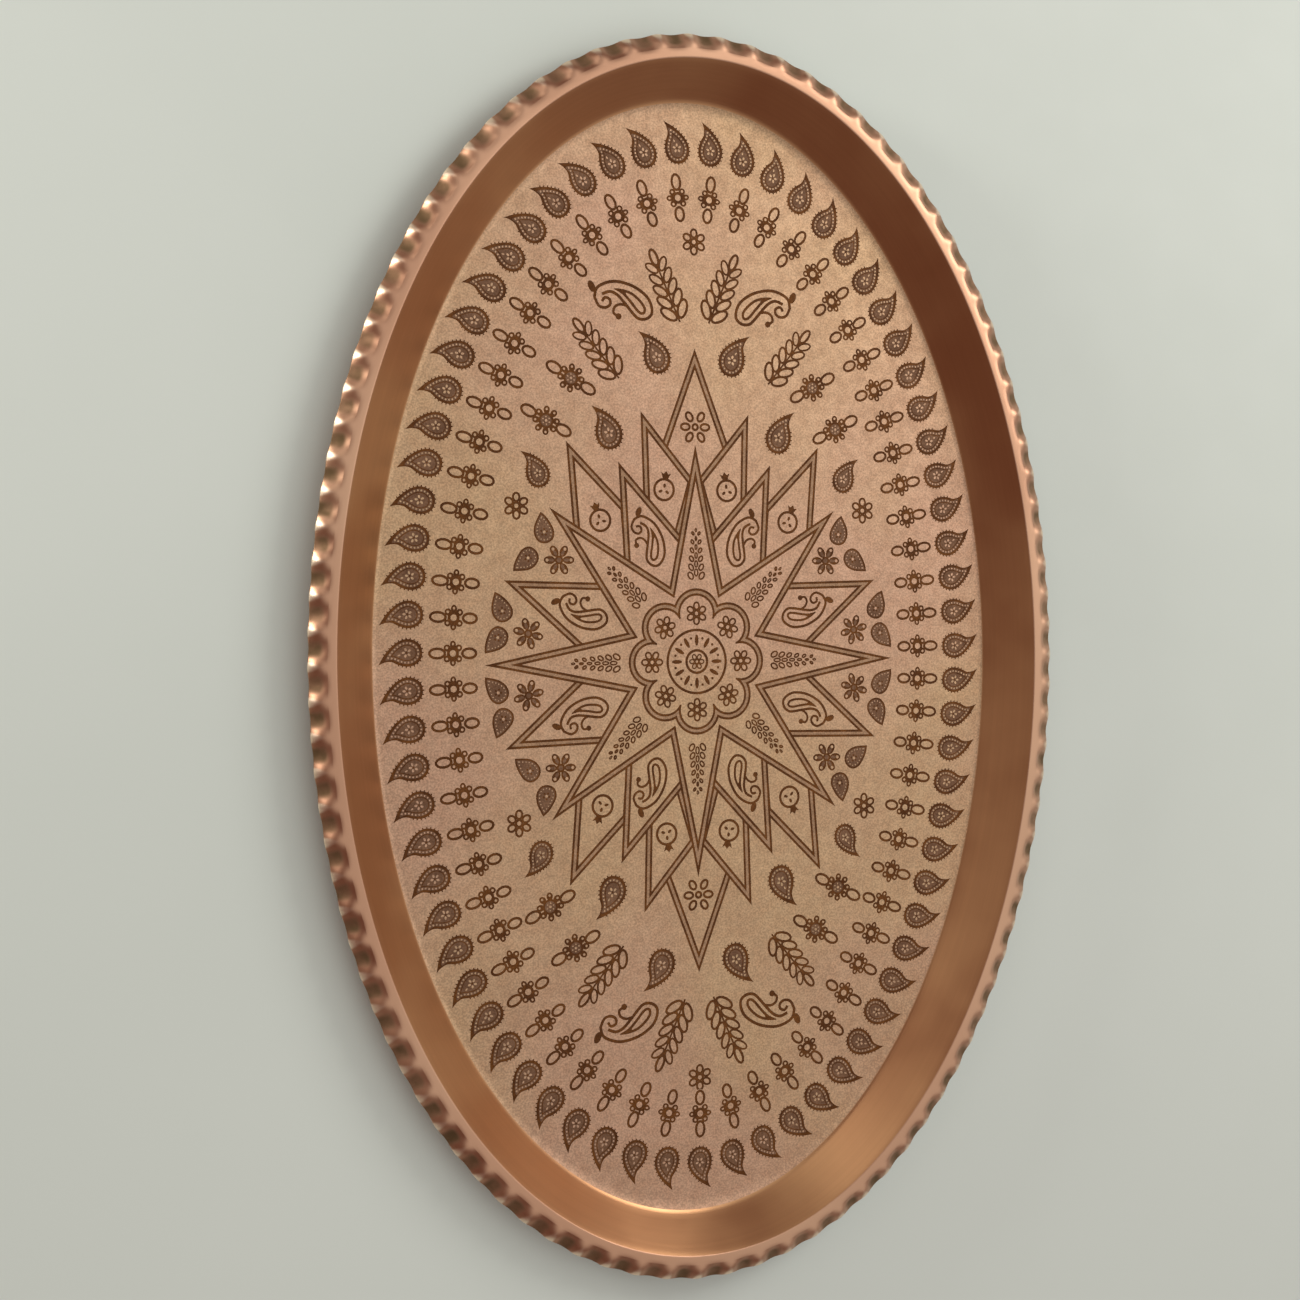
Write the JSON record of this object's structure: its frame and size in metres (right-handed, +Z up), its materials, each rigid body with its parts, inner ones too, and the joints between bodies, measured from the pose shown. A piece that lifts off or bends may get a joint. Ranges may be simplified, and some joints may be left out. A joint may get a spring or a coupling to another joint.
{
  "type": "serving tray",
  "caption": "Oval copper serving tray: flat floor etched with a star, paisleys and flowers, low flared wall, and an outward lip with a crimped edge.",
  "frame": {"origin": "centre of the underside of the floor, where the tray rests", "axes": "+Z up out of the tray, +Y along its long axis, +X across it"},
  "size_m": [0.292, 0.45, 0.0146],
  "materials": {
    "copper": "satin copper, polished on the wall and matte on the etched floor",
    "dark_fill": "matte dark brown filling of the etched ornament"
  },
  "bodies": {
    "root": {"tray_pan": "copper", "outer_paisley_fill": "dark_fill", "loop_flower_fill": "dark_fill", "leaf_sprig_fill": "dark_fill", "curled_boteh_fill": "dark_fill", "serrated_paisley_fill": "dark_fill", "loop_blossom_fill": "dark_fill", "open_flower_fill": "dark_fill", "small_paisley_fill": "dark_fill", "dot_flower_fill": "dark_fill", "cell_line_fill": "dark_fill", "star_line_fill": "dark_fill", "cell_fruit_fill": "dark_fill", "cell_boteh_fill": "dark_fill", "bead_row_fill": "dark_fill", "rosette_line_fill": "dark_fill", "rosette_flower_fill": "dark_fill", "medallion_fill": "dark_fill"}
  },
  "joints": []
}
